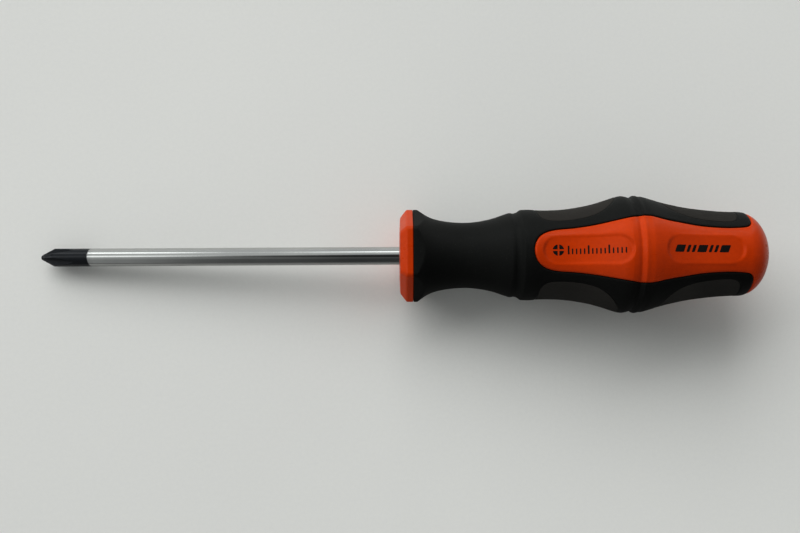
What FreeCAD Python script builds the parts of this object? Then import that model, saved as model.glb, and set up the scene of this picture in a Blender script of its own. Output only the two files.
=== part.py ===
# Fixed-blade cross-tip screwdriver, size 1 x 100 mm.
#
# Frame: millimetres, origin on the axis at the very tip of the blade.
#   +X runs from the tip to the butt of the handle; "front" is the side of the tip.
#   The two windows of the handle face +Z and -Z, the two rubber pads face +Y and -Y.
#
# Four pieces, all fixed to one another:
#   blade           one steel bar: cross tip, round shaft, shouldered tang with swaged wings
#   inner_core      hard first shot round the tang
#   handle_body     hard second shot: hexagonal flange, trunk, two windows, domed butt
#   grip_overmould  soft third shot: waisted neck, two side pads, raised rings

import FreeCAD, Part
import math
import os

os.makedirs("parts", exist_ok=True)

V = FreeCAD.Vector
ORIGIN = V(0, 0, 0)
AXIS = V(1, 0, 0)

# ---------------------------------------------------------------- blade dimensions
SHAFT_R = 5.0 / 2
BLADE_EXPOSED = 100.0    # tip to the front face of the flange
TIP_HALF_ANGLE = 28.0    # half angle of the cone at the tip, degrees
TIP_BLUNT_R = 0.55       # radius of the blunt point
TIP_BEVEL_LEN = 0.12     # small bevel round the blunt point: along the axis
TIP_BEVEL_H = 0.2        # and across it
FLUTE_ROOT = 0.68        # distance of the flute root from the axis at the point
FLUTE_LEN = 9.4          # length of the flutes along the shaft
CUTTER_RIM = 4.5         # height, and half width, of the V-shaped rim of the flute cutter
BLADE_ROLL = 8.0         # turn of the fluted tip about the axis, degrees

TANG_LEN = 78.0          # length of the bar inside the handle
TANG_R = 4.6 / 2         # radius of the bar behind the shoulder at the flange's front face
TANG_CHAMFER = 0.8
WING_R = 3.9             # outer radius of the swaged wings on the tang
WING_T = 1.5             # thickness of a swaged wing
WING_ROOT = 2.0          # where a wing's ends begin to slope; its root lies this far past the axis
WING_FRONT_SLOPE = 3.0   # length of the sloping front end
WING_REAR_SLOPE = 1.6    # length of the sloping rear end
# start x, end x, turn of each pair of wings in degrees
WING_PAIRS = ((126.0, 138.0, 0.0), (150.0, 162.0, 90.0))

# ---------------------------------------------------------------- handle dimensions
# Distances along the handle are measured back from the front face of the flange.
HANDLE_X = BLADE_EXPOSED

# hexagonal flange
FL_APOTHEM = 11.40       # half the width across the flats
FL_CORNER_R = 1.5        # rounding of the six corners
FL_FRONT_APOTHEM = 9.12  # half the width across the flats at the front face
FL_CHAMFER = 1.95        # length of the front chamfer along the axis
FL_CHAMFER_CORNER_R = 1.2  # rounding of the chamfer's corners
FL_HARD = 3.8            # length of the flange that is hard plastic
HEX_LEN = 9.0            # length over which the handle is trimmed to the hexagon

# the turned shape starts as a blank larger than the hexagon
BLANK_R = 16.0
BLANK_LEN = 1.4

# domed butt, a quarter ellipse
DOME_START = 94.0
DOME_R = 11.73           # radius where the dome begins
DOME_LEN = 8.05
DOME_STEP = 10           # angle between stations of the dome, degrees

# outer profile of the handle: (distance, radius)
NECK = (
    (2.6, 14.95), (3.9, 13.85), (5.1, 12.84), (6.0, 12.12), (7.2, 11.30), (9.0, 10.42),
    (11.3, 9.78), (13.5, 9.41), (15.7, 9.19), (18.0, 9.11), (20.2, 9.21), (22.4, 9.48),
    (24.7, 9.92), (27.0, 10.56), (29.1, 11.30), (30.4, 11.72))
RING_1_VALLEY = (31.5, 11.60)
RING_1_CREST = (33.6, 12.56)
FRONT_BULGE = (
    RING_1_CREST, (35.6, 12.66), (38.1, 12.52), (40.3, 12.46), (42.5, 12.50), (44.8, 12.62),
    (47.0, 12.84), (49.2, 13.16), (51.5, 13.58), (53.7, 14.08), (56.0, 14.74), (58.2, 15.46),
    (60.2, 16.08), (61.6, 16.30))
RING_2_VALLEY = (63.8, 15.84)
RING_2_CREST = (64.95, 16.36)
REAR_BULGE = (
    RING_2_CREST, (66.6, 16.20), (68.8, 15.62), (71.6, 14.80), (73.8, 14.22), (76.1, 13.70),
    (78.3, 13.24), (80.5, 12.86), (82.8, 12.54), (85.0, 12.30), (87.2, 12.08), (89.5, 11.90),
    (91.7, 11.79), (DOME_START, DOME_R))
# smooth spans from the neck to the second ring, which meet at corners
PROFILE_SPANS = (
    NECK,
    (NECK[-1], (30.95, 11.73), RING_1_VALLEY),
    (RING_1_VALLEY, (32.3, 11.72), (32.9, 12.02), RING_1_CREST),
    FRONT_BULGE,
    (FRONT_BULGE[-1], (62.6, 16.14), RING_2_VALLEY),
    (RING_2_VALLEY, (64.4, 16.02), RING_2_CREST))

# trunk of the body under the rubber: (distance, radius)
TRUNK = (
    (FL_HARD, 9.30), (6.0, 9.00), (9.0, 8.15), (13.0, 7.20), (18.0, 6.85), (23.0, 7.30),
    (28.0, 8.60), (33.0, 9.90), (38.0, 10.15), (44.0, 10.20), (50.0, 10.90), (56.0, 12.30),
    (62.0, 13.55), (65.0, 13.75), (69.0, 13.20), (74.0, 11.80), (80.0, 10.50), (86.0, 9.85),
    (91.0, 9.60), (96.0, 9.50))

# edge of a window: (distance, half width)
WINDOW = (
    (36.0, 0.0), (36.35, 1.95), (37.2, 3.50), (38.5, 4.60), (40.3, 5.38), (43.0, 5.86),
    (46.5, 6.14), (50.0, 6.56), (53.5, 7.14), (57.0, 7.86), (60.0, 8.46), (62.5, 8.92),
    (64.8, 9.18), (66.3, 9.20), (67.9, 8.98), (69.6, 8.60), (71.8, 8.12), (74.5, 7.66),
    (77.5, 7.16), (80.5, 6.68), (83.5, 6.38), (86.5, 6.20), (89.0, 6.16), (91.2, 6.24))
# rear end of a pad, window side to outer side: (distance, distance from the middle plane)
PAD_END = (
    WINDOW[-1], (93.2, 6.40), (94.6, 6.85), (95.3, 7.65), (95.6, 8.70), (95.85, 10.2),
    (95.95, 12.4))
# tangents of the two curves above, on the +Y side
WINDOW_START_DIR = (0, 1.6)
WINDOW_END_DIR = (1, 0.07)
PAD_END_DIR = (0.04, 1.0)
BUTT_START = 96.1        # from here back the whole surface is hard plastic

# flat label panels sunk in the windows
PANEL_HALF_W = 4.20
PANEL_CORNER_R = PANEL_HALF_W - 0.25
# start, end, depth of the floor below the crown, (distance, radius) stations of the crown
PANELS = (
    (38.3, 61.9, 0.70, ((33.0, 12.6),) + FRONT_BULGE[1:]),
    (70.6, 92.6, 0.50, REAR_BULGE[1:]))

# inner core, with three keying grooves: (distance, radius)
CORE = (
    (5.0, 3.7), (6.0, 4.5), (24.0, 4.5), (30.0, 5.6), (36.0, 6.4),
    (36.0, 5.3), (39.0, 5.3), (39.0, 6.6), (50.0, 7.0), (56.0, 8.2),
    (56.0, 7.0), (59.0, 7.0), (59.0, 8.8), (64.0, 9.2), (70.0, 8.2), (76.0, 6.9),
    (76.0, 5.8), (79.0, 5.8), (79.0, 6.5), (85.0, 5.8), (87.0, 4.4))

# reach of the tool shapes, well outside the handle
CLEAR_R = 40.0           # radius of round tools
CLEAR_REAR = 110.0       # length of the round tool behind the hexagon
CLEAR_Z = 30.0           # height above and below the axis
WINDOW_CLEAR_Y = 20.0    # half width of the window tool round the butt
WINDOW_CLEAR_X = 115.0   # rear end of the window tool
PANEL_CLEAR_Y = 1.0      # margin on each side of a panel
PANEL_CLEAR_Z = 40.0     # height of the panel's outline prism


# ---------------------------------------------------------------- helpers
def smooth(points, start=None, end=None):
    """Spline edge; given an end tangent, the start one defaults to the first chord."""
    curve = Part.BSplineCurve()
    if end is None:
        curve.interpolate(Points=points)
    else:
        if start is None:
            start = (points[1] - points[0]).normalize()
        curve.interpolate(Points=points, InitialTangent=start, FinalTangent=end)
    return curve.toShape()


def profile(stations, start_x=HANDLE_X):
    """Points in the XZ plane at (distance, radius) stations."""
    return [V(start_x + x, 0, radius) for x, radius in stations]


def lines(stations, start_x=HANDLE_X):
    """Straight edges joining (distance, radius) stations."""
    points = profile(stations, start_x)
    return [Part.makeLine(a, b) for a, b in zip(points, points[1:])]


def revolve(edges):
    return Part.Face(Part.Wire(edges)).revolve(ORIGIN, AXIS, 360)


def closed_polygon(points):
    return Part.makePolygon(points + [points[0]])


def one_solid(shape, label):
    """The single solid of a shape, slivers ignored."""
    solids = [s for s in shape.Solids if s.Volume > 1e-3]
    if len(solids) != 1:
        raise RuntimeError("%s has %d solids" % (label, len(solids)))
    return solids[0]


def hexagon(apothem, x):
    """Six-sided wire across the axis, with flats facing +Z and -Z."""
    radius = apothem / math.cos(math.pi / 6)
    angles = [math.radians(60 * k) for k in range(6)]
    return closed_polygon([V(x, radius * math.cos(a), radius * math.sin(a)) for a in angles])


# ---------------------------------------------------------------- blade
def make_bar():
    """Shaft and tang in one, with a conical point."""
    cone_len = (SHAFT_R - TIP_BLUNT_R) / math.tan(math.radians(TIP_HALF_ANGLE))
    end = BLADE_EXPOSED + TANG_LEN
    outline = [
        (0, 0), (0, TIP_BLUNT_R - TIP_BEVEL_H), (TIP_BEVEL_LEN, TIP_BLUNT_R),
        (cone_len, SHAFT_R), (BLADE_EXPOSED, SHAFT_R), (BLADE_EXPOSED, TANG_R),
        (end - TANG_CHAMFER, TANG_R), (end, TANG_R - TANG_CHAMFER), (end, 0), (0, 0)]
    return revolve(lines(outline, start_x=0))


def make_flute_cutter():
    """Disc with a square edge; its rim reaches the shaft surface at FLUTE_LEN."""
    depth = SHAFT_R - FLUTE_ROOT
    cutter_r = (FLUTE_LEN ** 2 + depth ** 2) / (2 * depth)
    rim_z = FLUTE_ROOT + CUTTER_RIM
    rim = closed_polygon([V(0, 0, FLUTE_ROOT), V(0, CUTTER_RIM, rim_z), V(0, -CUTTER_RIM, rim_z)])
    return Part.Face(rim).revolve(V(0, 0, FLUTE_ROOT + cutter_r), V(0, 1, 0), 360)


def make_tang_wing(start, end):
    """One flat wing on the +Z side, with sloping ends."""
    outline = [
        (start, -WING_ROOT), (end, -WING_ROOT), (end, WING_ROOT),
        (end - WING_REAR_SLOPE, WING_R), (start + WING_FRONT_SLOPE, WING_R),
        (start, WING_ROOT)]
    wire = closed_polygon([V(x, -WING_T / 2, z) for x, z in outline])
    return Part.Face(wire).extrude(V(0, WING_T, 0))


def make_blade():
    bar = make_bar()
    for k in range(4):
        cutter = make_flute_cutter()
        cutter.rotate(ORIGIN, AXIS, 45 + 90 * k)
        bar = bar.cut(cutter)
    bar.rotate(ORIGIN, AXIS, BLADE_ROLL)

    for start, end, turn in WING_PAIRS:
        for opposite in (0, 180):
            wing = make_tang_wing(start, end)
            wing.rotate(ORIGIN, AXIS, turn + opposite)
            bar = bar.fuse(wing)
    return one_solid(bar.removeSplitter(), "blade")


# ---------------------------------------------------------------- handle envelope
def make_turned_handle():
    edges = lines([(0, 0), (0, BLANK_R), (BLANK_LEN, BLANK_R), NECK[0]])
    edges += [smooth(profile(span)) for span in PROFILE_SPANS]
    edges.append(smooth(profile(REAR_BULGE), end=AXIS))
    angles = [math.radians(a) for a in range(0, 91, DOME_STEP)]
    dome = [(DOME_START + DOME_LEN * math.sin(a), DOME_R * math.cos(a)) for a in angles]
    edges.append(smooth(profile(dome), start=AXIS, end=V(0, 0, -1)))
    edges += lines([(DOME_START + DOME_LEN, 0), (0, 0)])
    return revolve(edges)


def make_flange():
    """Hexagonal prism with rounded corners, trimmed by a taper at the front."""
    prism = Part.Face(hexagon(FL_APOTHEM, HANDLE_X)).extrude(V(HEX_LEN, 0, 0))
    along = [e for e in prism.Edges if abs(e.tangentAt(e.FirstParameter).x) > 0.99]
    prism = prism.makeFillet(FL_CORNER_R, along)

    slope = (FL_APOTHEM - FL_FRONT_APOTHEM) / FL_CHAMFER
    front = hexagon(FL_FRONT_APOTHEM, HANDLE_X)
    rear = hexagon(FL_FRONT_APOTHEM + slope * HEX_LEN, HANDLE_X + HEX_LEN)
    taper = Part.makeLoft([front, rear], True, True)
    slanted = [e for e in taper.Edges if 0.3 < abs(e.tangentAt(e.FirstParameter).x) < 0.99]
    taper = taper.makeFillet(FL_CHAMFER_CORNER_R, slanted)
    return prism.common(taper)


def make_envelope():
    """Outside of the whole handle: hexagonal in front, turned behind."""
    turned = make_turned_handle()
    rest = Part.makeCylinder(CLEAR_R, CLEAR_REAR, V(HANDLE_X + HEX_LEN, 0, 0), AXIS)
    return one_solid(turned.common(make_flange().fuse(rest)), "envelope")


# ---------------------------------------------------------------- hard plastic
def make_window_tool():
    """Everything that is hard plastic at the surface behind the neck, seen along Z."""
    def corner(x, y):
        return V(HANDLE_X + x, y, -CLEAR_Z)

    edges = []
    for side in (1, -1):
        def direction(slope):
            return V(slope[0], side * slope[1], 0)

        window = [corner(x, side * y) for x, y in WINDOW]
        pad_end = [corner(x, side * y) for x, y in PAD_END]
        butt = corner(BUTT_START, side * WINDOW_CLEAR_Y)
        edges += [
            smooth(window, direction(WINDOW_START_DIR), direction(WINDOW_END_DIR)),
            smooth(pad_end, direction(WINDOW_END_DIR), direction(PAD_END_DIR)),
            Part.makeLine(pad_end[-1], butt),
            Part.makeLine(butt, corner(WINDOW_CLEAR_X, side * WINDOW_CLEAR_Y))]
    edges.append(Part.makeLine(corner(WINDOW_CLEAR_X, WINDOW_CLEAR_Y),
                               corner(WINDOW_CLEAR_X, -WINDOW_CLEAR_Y)))
    wire = Part.Wire(Part.__sortEdges__(edges))
    return Part.Face(wire).extrude(V(0, 0, 2 * CLEAR_Z))


def make_trunk():
    front, rear = TRUNK[0][0], TRUNK[-1][0]
    return revolve(lines([(front, 0), TRUNK[0]]) + [smooth(profile(TRUNK))]
                   + lines([TRUNK[-1], (rear, 0), (front, 0)]))


def make_hard_zone():
    front_slab = Part.makeCylinder(CLEAR_R, FL_HARD, V(HANDLE_X, 0, 0), AXIS)
    return front_slab.fuse([make_trunk(), make_window_tool()])


def make_core():
    front, rear = CORE[0][0], CORE[-1][0]
    return revolve(lines([(front, 0), *CORE, (rear, 0), (front, 0)]))


def make_panel_tool(start, end, depth, crown, side):
    """Volume outside the floor of one label panel, on the +Z or -Z side."""
    edge_y = -PANEL_HALF_W - PANEL_CLEAR_Y
    floor = [V(HANDLE_X + x, edge_y, radius - depth) for x, radius in crown]
    front, rear = floor[0], floor[-1]
    front_top = V(front.x, edge_y, CLEAR_Z)
    rear_top = V(rear.x, edge_y, CLEAR_Z)
    wire = Part.Wire([smooth(floor), Part.makeLine(rear, rear_top),
                      Part.makeLine(rear_top, front_top), Part.makeLine(front_top, front)])
    above = Part.Face(wire).extrude(V(0, -2 * edge_y, 0))

    box = Part.makeBox(end - start, 2 * PANEL_HALF_W, PANEL_CLEAR_Z,
                       V(HANDLE_X + start, -PANEL_HALF_W, 0))
    upright = [e for e in box.Edges if abs(e.tangentAt(e.FirstParameter).z) > 0.99]
    tool = above.common(box.makeFillet(PANEL_CORNER_R, upright))
    if side < 0:
        tool.rotate(ORIGIN, AXIS, 180)
    return tool


def make_body(envelope, hard_zone, core_blank, blade):
    body = one_solid(envelope.common(hard_zone), "hard zone")
    for start, end, depth, crown in PANELS:
        for side in (1, -1):
            body = body.cut(make_panel_tool(start, end, depth, crown, side))
    return one_solid(body.cut(core_blank).cut(blade), "handle_body")


# ---------------------------------------------------------------- build
blade = make_blade()
envelope = make_envelope()
hard_zone = make_hard_zone()
core_blank = make_core()

pieces = {
    "blade": blade,
    "inner_core": one_solid(core_blank.cut(blade), "inner_core"),
    "handle_body": make_body(envelope, hard_zone, core_blank, blade),
    "grip_overmould": one_solid(envelope.cut(hard_zone), "grip_overmould"),
}
for name, shape in pieces.items():
    if not shape.isValid():
        raise RuntimeError(name + " is not a valid solid")
    shape.exportStep(os.path.join("parts", name + ".step"))
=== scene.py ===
"""A cross-tip screwdriver lying along X: the tip is at x = 0 and the domed butt at the +X end.

The hard plastic body shows through two windows, facing +Z and -Z, with rubber pads at +Y and -Y.
Shapes are worked out in millimetres. Places on the handle are (x, angle): x is counted from the
front (-X) face of the flange, and the angle goes round the axis from +Z (0) towards +Y (90 degrees).
"""
import bpy
import bmesh
import numpy as np
from math import asin, atan, cos, degrees, pi, radians, sin, sqrt, tan
from mathutils import Matrix, Vector, kdtree


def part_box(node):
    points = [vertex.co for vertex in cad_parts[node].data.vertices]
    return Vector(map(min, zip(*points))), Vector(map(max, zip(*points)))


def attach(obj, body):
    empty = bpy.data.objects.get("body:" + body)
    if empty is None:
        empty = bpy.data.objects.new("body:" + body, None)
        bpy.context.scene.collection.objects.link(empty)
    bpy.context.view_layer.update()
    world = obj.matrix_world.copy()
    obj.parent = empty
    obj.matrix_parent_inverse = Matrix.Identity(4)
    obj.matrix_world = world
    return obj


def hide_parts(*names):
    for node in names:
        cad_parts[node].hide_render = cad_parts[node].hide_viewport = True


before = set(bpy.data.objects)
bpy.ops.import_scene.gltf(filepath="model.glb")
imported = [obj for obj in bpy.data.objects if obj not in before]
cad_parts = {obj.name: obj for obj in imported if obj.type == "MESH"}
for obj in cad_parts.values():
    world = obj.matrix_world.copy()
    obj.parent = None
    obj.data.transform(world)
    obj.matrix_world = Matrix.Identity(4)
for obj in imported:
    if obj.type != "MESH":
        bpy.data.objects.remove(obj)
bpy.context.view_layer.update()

MM = 0.001

# ---------------------------------------------------------------- places of the CAD pieces, mm
FLANGE_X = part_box("handle_body")[0].x / MM              # front face of the flange, from the tip
BUTT_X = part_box("handle_body")[1].x / MM - FLANGE_X     # end of the butt, from the flange front
BLADE_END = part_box("blade")[1].x / MM                   # buried end of the blade, from the tip

# ---------------------------------------------------------------- handle profile: (x, radius), mm
NECK = (
    (2.6, 14.95), (3.9, 13.85), (5.1, 12.84), (6.0, 12.12), (7.2, 11.30), (9.0, 10.42),
    (11.3, 9.78), (13.5, 9.41), (15.7, 9.19), (18.0, 9.11), (20.2, 9.21), (22.4, 9.48),
    (24.7, 9.92), (27.0, 10.56), (29.1, 11.30), (30.4, 11.72))
RING_1 = ((30.4, 11.72), (30.95, 11.73), (31.5, 11.60))
RING_1_RISE = ((31.5, 11.60), (32.3, 11.72), (32.9, 12.02), (33.6, 12.56))
FRONT_BULGE = (
    (33.6, 12.56), (35.6, 12.66), (38.1, 12.52), (40.3, 12.46), (42.5, 12.50), (44.8, 12.62),
    (47.0, 12.84), (49.2, 13.16), (51.5, 13.58), (53.7, 14.08), (56.0, 14.74), (58.2, 15.46),
    (60.2, 16.08), (61.6, 16.30))
RING_2 = ((61.6, 16.30), (62.6, 16.14), (63.8, 15.84))
RING_2_RISE = ((63.8, 15.84), (64.4, 16.02), (64.95, 16.36))
REAR_BULGE = (
    (64.95, 16.36), (66.6, 16.20), (68.8, 15.62), (71.6, 14.80), (73.8, 14.22), (76.1, 13.70),
    (78.3, 13.24), (80.5, 12.86), (82.8, 12.54), (85.0, 12.30), (87.2, 12.08), (89.5, 11.90),
    (91.7, 11.79), (94.0, 11.73))
DOME_START, DOME_RADIUS = REAR_BULGE[-1]
DOME_LENGTH = BUTT_X - DOME_START
# fine grooves cut into the profile: (x, depth, width)
GROOVES = ((66.15, 0.17, 0.32), (63.75, 0.15, 0.42))

# surface where the body carries the rubber, and the hollow inside the body: (x, radius)
TRUNK = (
    (3.8, 9.30), (6.0, 9.00), (9.0, 8.15), (13.0, 7.20), (18.0, 6.85), (23.0, 7.30), (28.0, 8.60),
    (33.0, 9.90), (38.0, 10.15), (44.0, 10.20), (50.0, 10.90), (56.0, 12.30), (62.0, 13.55),
    (65.0, 13.75), (69.0, 13.20), (74.0, 11.80), (80.0, 10.50), (86.0, 9.85), (91.0, 9.60),
    (96.0, 9.50), (99.0, 6.0))
CORE = (
    (5.0, 3.7), (6.0, 4.5), (24.0, 4.5), (30.0, 5.6), (36.0, 6.4), (36.0, 5.3), (39.0, 5.3),
    (39.0, 6.6), (50.0, 7.0), (56.0, 8.2), (56.0, 7.0), (59.0, 7.0), (59.0, 8.8), (64.0, 9.2),
    (70.0, 8.2), (76.0, 6.9), (76.0, 5.8), (79.0, 5.8), (79.0, 6.5), (85.0, 5.8), (87.0, 4.4))
CORE_CLEARANCE = 0.008

# ---------------------------------------------------------------- outlines on the handle
# half outline of a window: (x, half width)
WINDOW = (
    (36.0, 0.0), (36.35, 1.95), (37.2, 3.50), (38.5, 4.60), (40.3, 5.38), (43.0, 5.86),
    (46.5, 6.14), (50.0, 6.56), (53.5, 7.14), (57.0, 7.86), (60.0, 8.46), (62.5, 8.92),
    (64.8, 9.18), (66.3, 9.20), (67.9, 8.98), (69.6, 8.60), (71.8, 8.12), (74.5, 7.66),
    (77.5, 7.16), (80.5, 6.68), (83.5, 6.38), (86.5, 6.20), (89.0, 6.16), (91.2, 6.24),
    (93.2, 6.40), (94.6, 6.85), (95.3, 7.65), (95.6, 8.70))
# rear end of a pad: (x, degrees from the window's centre line)
PAD_END = ((95.75, 62.0), (95.9, 74.0), (95.95, 90.0))
# half outlines of the textured panels: (x, degrees from the pad's centre line)
FRONT_PANEL = (
    (37.6, 20), (37.9, 38), (39.6, 47.5), (43.0, 49.2), (47.0, 49.0), (51.0, 47.5), (54.5, 43.0),
    (57.5, 33.0), (59.6, 19.0), (60.3, 8.0))
REAR_PANEL = (
    (70.6, 8.0), (71.2, 20.0), (72.6, 32.0), (74.6, 40.5), (77.2, 45.5), (80.5, 48.2),
    (84.5, 49.6), (88.4, 50.0), (91.2, 47.5), (92.5, 38.0), (92.9, 20.0))
PAD_SINK = 0.05                         # depth of a textured panel
PAD_STEP, PAD_GROOVE = 0.30, 0.17       # half width and extra depth of the groove round it
LABELS = ((38.3, 61.9), (70.6, 92.6))   # ends of the label panels in each window
LABEL_HALF = 4.20                       # half width of a label panel
LABEL_IN, LABEL_OUT = 0.85, 0.30        # reach of the wall round it, inwards and outwards
# floor of the label panels: x, and depth below the crown of the window
SINK_X = (38.0, 47.0, 60.0, 64.0, 70.0, 79.0)
SINK_DEPTH = (0.50, 0.72, 0.72, 0.55, 0.55, 0.48)

# ---------------------------------------------------------------- edges and flange
SEAM_GAP = 0.035                        # half the clearance between hard plastic and rubber
HARD_EDGE = (0.75, 0.58)                # rounding of the hard edge: across, down
SOFT_EDGE = (0.55, 0.24)                # rounding of the rubber edge: across, down
RUBBER_CLEARANCE = 0.02                 # rubber's underside above the trunk

FLANGE_APOTHEM, FLANGE_CORNER = 11.40, 1.5      # rounded hexagon with flats at +Z and -Z
FLANGE_FRONT_APOTHEM, FLANGE_CHAMFER = 9.12, 1.95
CHAMFER_SLOPE = (FLANGE_APOTHEM - FLANGE_FRONT_APOTHEM) / FLANGE_CHAMFER
FLANGE_BACK = 3.8                               # end of the hard flange
GRIP_FRONT = FLANGE_BACK + 0.05


# ---------------------------------------------------------------- curves and profiles
def cubic(points, start=None, end=None):
    """Cubic spline as a function, natural unless an end slope is given."""
    knot_x, knot_y = np.array(points, float).T
    count = len(knot_x)
    gap = np.diff(knot_x)
    rise = np.diff(knot_y) / gap
    matrix = np.zeros((count, count))
    rhs = np.zeros(count)
    for i in range(1, count - 1):
        matrix[i, i - 1:i + 2] = gap[i - 1], 2 * (gap[i - 1] + gap[i]), gap[i]
        rhs[i] = 6 * (rise[i] - rise[i - 1])
    matrix[0, 0] = matrix[-1, -1] = 1.0
    if start is not None:
        matrix[0, :2] = 2 * gap[0], gap[0]
        rhs[0] = 6 * (rise[0] - start)
    if end is not None:
        matrix[-1, -2:] = gap[-1], 2 * gap[-1]
        rhs[-1] = 6 * (end - rise[-1])
    bend = np.linalg.solve(matrix, rhs)

    def spline(x):
        x = np.asarray(x, float)
        i = np.clip(np.searchsorted(knot_x, x) - 1, 0, count - 2)
        span = knot_x[i + 1] - knot_x[i]
        before, after = (knot_x[i + 1] - x) / span, (x - knot_x[i]) / span
        curved = (before ** 3 - before) * bend[i] + (after ** 3 - after) * bend[i + 1]
        return before * knot_y[i] + after * knot_y[i + 1] + curved * span * span / 6
    return spline


def turned_profile():
    """The turned profile tabulated finely, with its sharp crests eased."""
    pitch, ease_width, reach = 0.02, 0.085, 20
    x = np.arange(NECK[0][0], 104.0, pitch)
    radius = np.zeros_like(x)
    for segment in (NECK, RING_1, RING_1_RISE, FRONT_BULGE, RING_2, RING_2_RISE, REAR_BULGE):
        chosen = (x >= segment[0][0] - 1e-9) & (x <= segment[-1][0] + 1e-9)
        end_slope = 0.0 if segment is REAR_BULGE else None
        radius[chosen] = cubic(segment, end=end_slope)(x[chosen])
    dome = x > DOME_START
    along_dome = (x[dome] - DOME_START) / DOME_LENGTH
    radius[dome] = DOME_RADIUS * np.sqrt(np.clip(1 - along_dome ** 2, 0, 1))
    for centre, depth, width in GROOVES:
        radius -= depth * np.exp(-0.5 * ((x - centre) / width) ** 2)
    kernel = np.exp(-0.5 * (np.arange(-reach, reach + 1) * pitch / ease_width) ** 2)
    kernel /= kernel.sum()
    eased = np.convolve(np.pad(radius, reach, mode="edge"), kernel, mode="valid")
    return x, np.where(x > 92.0, radius, eased)


PROFILE_X, PROFILE_RADIUS = turned_profile()
trunk_spline = cubic(TRUNK)


def turned_radius(x):
    return np.interp(x, PROFILE_X, PROFILE_RADIUS)


def trunk_radius(x):
    return trunk_spline(np.clip(x, TRUNK[0][0], TRUNK[-1][0]))


def soft_min(first, second, width):
    """Smaller of two values, blended where they are close."""
    blend = np.clip(0.5 + 0.5 * (second - first) / width, 0, 1)
    return second + (first - second) * blend - width * blend * (1 - blend)


def smooth(amount):
    amount = np.clip(amount, 0, 1)
    return amount * amount * (3 - 2 * amount)


def hexagon_radius(angle, apothem, corner):
    """Polar radius of a rounded hexagon with flats facing 0 and 180 degrees."""
    off_flat = np.abs((angle + pi / 6) % (pi / 3) - pi / 6)
    apothem = np.asarray(apothem, float)
    half_flat = (apothem - corner) * tan(pi / 6)
    flat = apothem / np.cos(off_flat)
    centre = (apothem - corner) / cos(pi / 6)
    off_corner = pi / 6 - off_flat
    inside = np.clip(corner * corner - (centre * np.sin(off_corner)) ** 2, 0, None)
    rounded = centre * np.cos(off_corner) + np.sqrt(inside)
    return np.where(np.tan(off_flat) * apothem <= half_flat, flat, rounded)


def handle_radius(x, angle):
    """Outer radius of the handle behind the hard part of the flange."""
    x = np.asarray(x, float)
    apothem = np.where(x < 15.0, FLANGE_APOTHEM, 40.0)      # the hexagon only counts in front
    return soft_min(hexagon_radius(angle, apothem, FLANGE_CORNER), turned_radius(x), 0.22)


def label_sink(x):
    return np.interp(x, SINK_X, SINK_DEPTH)


def label_floor(x, angle):
    """Polar radius of the floor of a label panel, flat across its width."""
    return (turned_radius(x) - label_sink(x)) / np.abs(np.cos(angle))


# ---------------------------------------------------------------- outlines on the surface
def embed(x, angle, radius=None):
    """Points in space, on the handle's surface unless a radius is given."""
    radius = handle_radius(x, angle) if radius is None else radius
    return np.stack([np.asarray(x, float) + 0 * angle,
                     radius * np.sin(angle), radius * np.cos(angle)], -1)


def angle_of(points):
    return np.arctan2(points[:, 1], points[:, 2])


def wrap(angle):
    """Angle brought into -pi..pi."""
    return (angle + pi) % (2 * pi) - pi


def unit(vectors):
    return vectors / np.linalg.norm(vectors, axis=1)[:, None]


def travelled(points):
    """Distance along a polyline at each of its points."""
    return np.concatenate([[0], np.cumsum(np.linalg.norm(np.diff(points, axis=0), axis=1))])


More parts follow.
